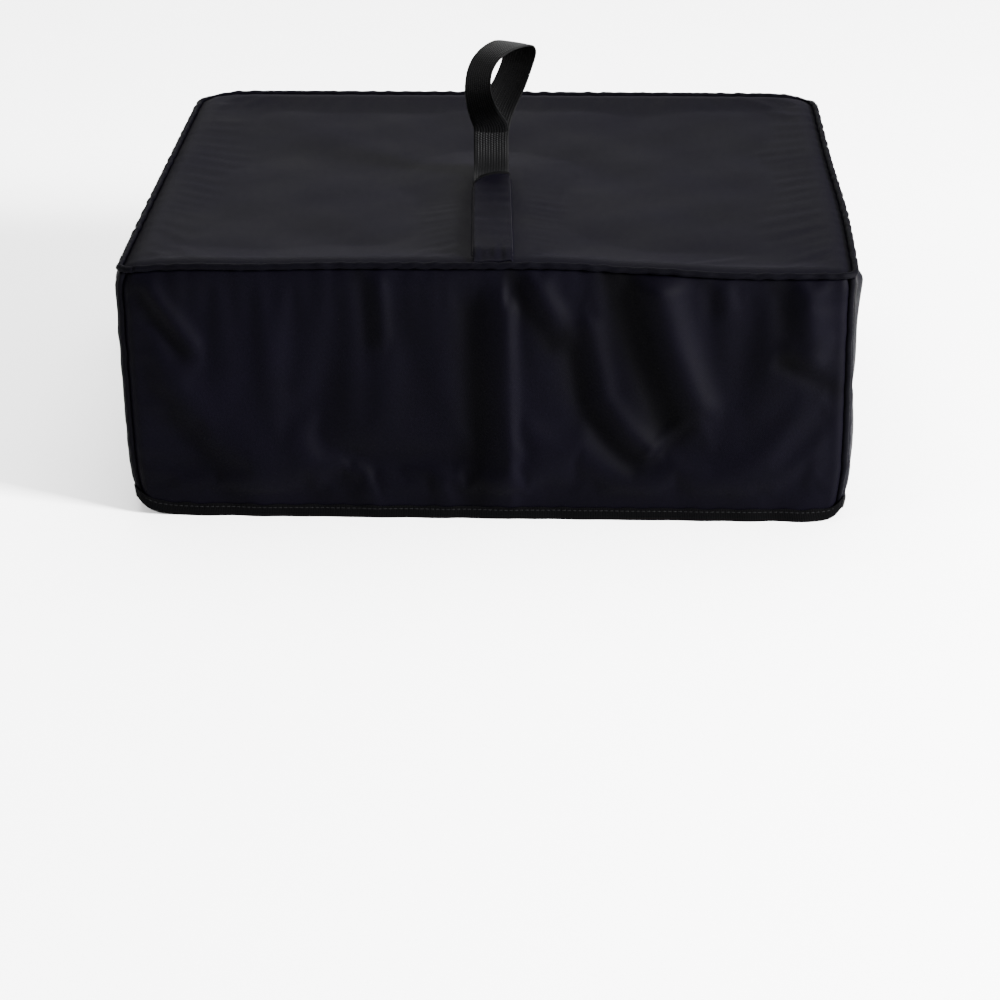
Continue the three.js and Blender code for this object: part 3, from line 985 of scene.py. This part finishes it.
# How far its width is turned, in degrees, by the share of the way along the loop.
LOOP_TWIST = (
    (0, 0.05, 0.14, 0.3, 0.42, 0.55, 0.72, 0.86, 0.95, 1),
    (0, -3, -22, -44, -46, -30, -27, -16, -3, 0),
)


WEBBING_POINTS = 420
WEBBING_HALF = 12 * MM
WEBBING_EDGE = 0.55 * MM


class COVER_OT_handle(bpy.types.Operator):
    """Folds the webbing in half, with its tails along the top and its loop standing and twisted"""

    bl_idname = "cover.handle"
    bl_label = "Lifting loop"

    def execute(self, context):
        loop = spline(np.array(LOOP_ROUTE) * MM) + (STRAP_X, FOLD_Y, FOLD_Z)
        run = np.concatenate(([0], np.cumsum(np.linalg.norm(np.diff(loop, axis=0), axis=1))))
        yaw = np.radians(through(run / run[-1], *LOOP_TWIST))
        lower, upper = tail_line(LOWER_PLY), tail_line(UPPER_PLY)[::-1]
        line = np.vstack((lower, loop, upper))
        yaws = np.concatenate((np.full(len(lower), STRAP_SKEW), yaw, np.full(len(upper), STRAP_SKEW)))
        line, yaws, total = evenly(line, yaws, WEBBING_POINTS)
        for _ in range(6):
            line[1:-1] = (line[:-2] + 2 * line[1:-1] + line[2:]) / 4
            yaws[1:-1] = (yaws[:-2] + 2 * yaws[1:-1] + yaws[2:]) / 4
        along = np.gradient(line, axis=0)
        along /= np.linalg.norm(along, axis=1, keepdims=True)
        wide = np.column_stack((np.cos(yaws), np.sin(yaws), 0 * yaws))
        wide -= along * (wide * along).sum(1, keepdims=True)
        wide /= np.linalg.norm(wide, axis=1, keepdims=True)
        facing = np.cross(along, wide)
        half, edge = WEBBING_HALF, WEBBING_EDGE
        face = np.linspace(-1, 1, 13) * (half - edge)
        section = [(x, -edge) for x in face] + [(half, 0.0)]
        section += [(x, edge) for x in face[::-1]] + [(-half, 0.0)]

        def place(u, x, y):
            i = np.rint(u * (len(line) - 1)).astype(int)
            cupped = y + 0.35 * MM * (x / half) ** 2
            return lie_on_top(line[i] + wide[i] * x[:, None] + facing[i] * cupped[:, None])

        mesh = sweep("handle_webbing", total, total / (WEBBING_POINTS - 1), section, place)
        replaced = ["handle_lower_tail", "handle_upper_tail", "handle_loop"]
        obj = add_piece("handle_webbing", mesh, "woven_webbing", replaced)
        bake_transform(obj)
        return {"FINISHED"}


def mouth(x):
    """How far back the sleeve reaches at a place across it."""
    return through(x, np.array((-14, -9, 0, 8, 14)) * MM, np.array((-40, -29, -21, -17, -15)) * MM)


def on_sleeve(x, y, lifted=0.0):
    """Points of the sleeve by how far they are across it and along it."""
    over = 1 - ease((abs(x) - 11.9 * MM) / (1.3 * MM))
    behind = mouth(x) - y
    lip = np.exp(-((behind / (9 * MM)) ** 2)) * np.clip(1 - (x / (13 * MM)) ** 2, 0, 1)
    height = 4.2 * MM * over + 2.2 * MM * lip + 0.2 * MM * over * (1 + swell(x, y, 24 * MM, 91))
    front = (1 - ease((y + HALF_Y - 4 * MM) / (30 * MM))) * ease((y + HALF_Y - 4 * MM) / (7 * MM))
    height += 0.5 * MM * over * front * (1 + gathers(x, 8 * MM, 92))
    return lie_on_top(on_strap(x, y, 169.6 * MM + height + lifted))


def sleeve_shape(u, v):
    """Lays the sleeve from the front seam to its slanting mouth."""
    x = (2 * v - 1) * -13.6 * MM
    front = -HALF_Y + 3.4 * MM
    return on_sleeve(x, front + u * (mouth(x) - front))


def mouth_tape_shape(u, v):
    """Lays the tape over the sleeve's raw end."""
    x = (2 * v - 1) * -12.9 * MM
    return on_sleeve(x, mouth(x) + (u * 3.9 - 3.4) * MM, 0.35 * MM)


class COVER_OT_sleeve(bpy.types.Operator):
    """Sews the cloth sleeve over the webbing tails, and the patch that backs them inside"""

    bl_idname = "cover.sleeve"
    bl_label = "Sleeve and patch"

    def execute(self, context):
        cloth = context.scene.cover_sizes.cloth
        span = HALF_Y - 27 * MM
        mesh = cut_cloth("handle_sleeve_cloth", (110, 44), (span, 36 * MM), sleeve_shape)
        sleeve = add_piece("handle_sleeve_cloth", mesh, "nylon_cloth", ["handle_sleeve"])
        thicken(sleeve, cloth)
        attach(sleeve, "cover")
        mesh = cut_cloth("sleeve_mouth_binding", (8, 40), (4 * MM, 30 * MM), mouth_tape_shape)
        edge = add_piece("sleeve_mouth_binding", mesh, "binding_tape")
        thicken(edge, 1.1 * MM)
        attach(edge, "cover")
        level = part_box("handle_backing_patch")[1].z - 0.2 * MM
        span = PATCH_BACK - PATCH_FRONT

        def patch_shape(u, v):
            x, y = (2 * v - 1) * -PATCH_HALF, PATCH_FRONT + u * span
            return settle(on_strap(x, y, level + 0 * x))

        mesh = cut_cloth("handle_patch_cloth", (90, 20), (span, 2 * PATCH_HALF), patch_shape)
        patch = add_piece("handle_patch_cloth", mesh, "nylon_cloth", ["handle_backing_patch"])
        thicken(patch, cloth)
        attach(patch, "cover")
        return {"FINISHED"}


def stitch_row(whole, line, stitch):
    """Lays small stitches end to end along a line of points, and adds them to the whole."""
    _, _, total = evenly(line, np.zeros(len(line)), 2)
    count = max(2, round(total / stitch))
    even, _, _ = evenly(line, np.zeros(len(line)), 2 * count + 1)
    ends = list(zip(even[0:-1:2], even[1::2], even[2::2]))
    lot = bpy.data.meshes.new("lot")
    for first in range(0, count, 30):
        bm = bmesh.new()
        for start, middle, end in ends[first : first + 30]:
            turn = Vector(end - start).to_track_quat("X", "Z").to_matrix().to_4x4()
            size = Matrix.Diagonal((stitch * 0.42, 0.24 * MM, 0.24 * MM, 1))
            place = Matrix.Translation(Vector(middle)) @ turn @ size
            bmesh.ops.create_uvsphere(bm, u_segments=5, v_segments=4, radius=1.0, matrix=place)
        bm.to_mesh(lot)
        bm.free()
        whole.from_mesh(lot)
    bpy.data.meshes.remove(lot)


class COVER_OT_stitches(bpy.types.Operator):
    """Sews the rows of stitches on the hem, the bindings, the sleeve and the patch"""

    bl_idname = "cover.stitches"
    bl_label = "Stitches"

    def sew(self, name, lines, stitch):
        """Makes one piece of the stitches along some lines."""
        bm = bmesh.new()
        for line in lines:
            stitch_row(bm, line, stitch)
        mesh = bpy.data.meshes.new(name)
        bm.to_mesh(mesh)
        bm.free()
        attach(add_piece(name, mesh, "sewing_thread"), "cover")

    def execute(self, context):
        stitch = context.scene.cover_sizes.stitch
        hem = []
        for side in WALLS:
            s = np.linspace(-1, 1, 300) * half_length(side, 1 * MM)
            hem.append(settle(on_wall(side, s, 0.2 * MM, 7.0 * MM)))
            hem.append(settle(on_wall(side, s, 3.35 * MM, 7.0 * MM)))
        self.sew("hem_stitches", hem, stitch)
        share = np.linspace(0, 1, 1200)
        slope = math.sqrt(0.5)
        x, y = 5.6 * MM, -1.3 * MM
        rim = settle(on_rim(share, CORD_INSET + slope * (x + y), HEIGHT - CORD_INSET - slope * (x - y)))
        lines = [rim]
        for diagonal in CORNERS.values():
            for y in (-1.3 * MM, 1.3 * MM):
                place = corner_place(diagonal, 10 * MM, HEIGHT - 14 * MM, 0.0)
                lines.append(place(np.linspace(0, 1, 80), np.full(80, 5.6 * MM), np.full(80, y)))
        self.sew("inner_seam_stitches", lines, stitch)
        u = np.linspace(0.03, 0.985, 90)
        sleeve = [sleeve_shape(u, np.full(90, v)) + (0, 0, 0.1 * MM) for v in (0.045, 0.955)]
        self.sew("sleeve_stitches", sleeve, stitch)
        t = np.linspace(0, 1, 60)
        front, back = PATCH_FRONT + 3 * MM, PATCH_BACK - 3 * MM
        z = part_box("handle_backing_patch")[1].z - 0.2 * MM - context.scene.cover_sizes.cloth
        level = np.full(60, z - 0.1 * MM)
        across = ((-19, 19, front, front), (-19, 19, back, back))
        ends = (*across, (-19, -19, front, back), (19, 19, front, back))
        lines = []
        for x0, x1, y0, y1 in ends:
            lines.append(settle(on_strap((x0 + t * (x1 - x0)) * MM, y0 + t * (y1 - y0), level)))
        self.sew("patch_stitches", lines, stitch)
        return {"FINISHED"}


class COVER_OT_stage(bpy.types.Operator):
    """Lays the pale floor and sets the studio lights and the camera"""

    bl_idname = "cover.stage"
    bl_label = "Stage"

    def light(self, name, place, size, power, aim=(0, 0, 0.1)):
        """Adds a square studio light that faces the cover."""
        lamp = bpy.data.lights.new(name, "AREA")
        lamp.shape = "SQUARE"
        lamp.size = size
        lamp.energy = power
        obj = bpy.data.objects.new(name, lamp)
        bpy.context.scene.collection.objects.link(obj)
        obj.location = place
        obj.rotation_euler = (Vector(aim) - Vector(place)).to_track_quat("-Z", "Y").to_euler()

    def execute(self, context):
        scene = context.scene
        bm = bmesh.new()
        bmesh.ops.create_circle(bm, cap_ends=True, segments=96, radius=14)
        mesh = bpy.data.meshes.new("floor")
        bm.to_mesh(mesh)
        bm.free()
        floor = bpy.data.objects.new("floor", mesh)
        scene.collection.objects.link(floor)
        mesh.materials.append(bpy.data.materials["studio_floor"])
        world = bpy.data.worlds.new("studio")
        world.use_nodes = True
        world.node_tree.nodes["Background"].inputs["Color"].default_value = (1, 1, 1, 1)
        world.node_tree.nodes["Background"].inputs["Strength"].default_value = 1.15
        scene.world = world
        self.light("overhead", (0.0, 0.9, 2.7), 2.6, 215)
        self.light("key", (2.9, -1.3, 1.2), 0.8, 1650)
        self.light("left_fill", (-2.6, -1.4, 1.5), 1.6, 110)
        self.light("rear_fill", (-0.4, 3.0, 1.8), 2.0, 40)
        lens = bpy.data.cameras.new("camera")
        lens.sensor_width = 36
        lens.lens = 95.08
        lens.clip_start, lens.clip_end = 0.05, 60
        camera = bpy.data.objects.new("camera", lens)
        scene.collection.objects.link(camera)
        aim = Matrix.Rotation(math.radians(2.321), 4, "Z") @ Matrix.Rotation(math.radians(64.99), 4, "X")
        aim = aim @ Matrix.Rotation(math.radians(-0.359), 4, "Z")
        camera.matrix_world = Matrix.Translation((0.07037, -1.73916, 0.73359)) @ aim
        scene.camera = camera
        return {"FINISHED"}


STEPS = (
    COVER_OT_finishes, COVER_OT_stage, COVER_OT_panels, COVER_OT_piping, COVER_OT_bindings, COVER_OT_handle,
    COVER_OT_sleeve, COVER_OT_stitches,
)


class COVER_PT_panel(bpy.types.Panel):
    """Lists the cover's sizes, colours and steps"""

    bl_idname = "COVER_PT_panel"
    bl_label = "Dust Cover"
    bl_space_type = "VIEW_3D"
    bl_region_type = "UI"
    bl_category = "Dust Cover"

    def draw(self, context):
        for group in (context.scene.cover_sizes, context.scene.cover_colours):
            for key in group.bl_rna.properties.keys():
                if key not in ("rna_type", "name"):
                    self.layout.prop(group, key)
        for step in STEPS:
            self.layout.operator(step.bl_idname)


CLASSES = (CoverSizes, CoverColours, *STEPS, COVER_PT_panel)


def register():
    for cls in CLASSES:
        bpy.utils.register_class(cls)
    bpy.types.Scene.cover_sizes = bpy.props.PointerProperty(type=CoverSizes)
    bpy.types.Scene.cover_colours = bpy.props.PointerProperty(type=CoverColours)


def unregister():
    del bpy.types.Scene.cover_colours
    del bpy.types.Scene.cover_sizes
    for cls in reversed(CLASSES):
        bpy.utils.unregister_class(cls)


def main():
    """Makes the whole cover."""
    register()
    bpy.ops.cover.finishes()
    bpy.ops.cover.stage()
    bpy.ops.cover.panels()
    bpy.ops.cover.piping()
    bpy.ops.cover.bindings()
    bpy.ops.cover.handle()
    bpy.ops.cover.sleeve()
    bpy.ops.cover.stitches()


if __name__ == "__main__":
    main()
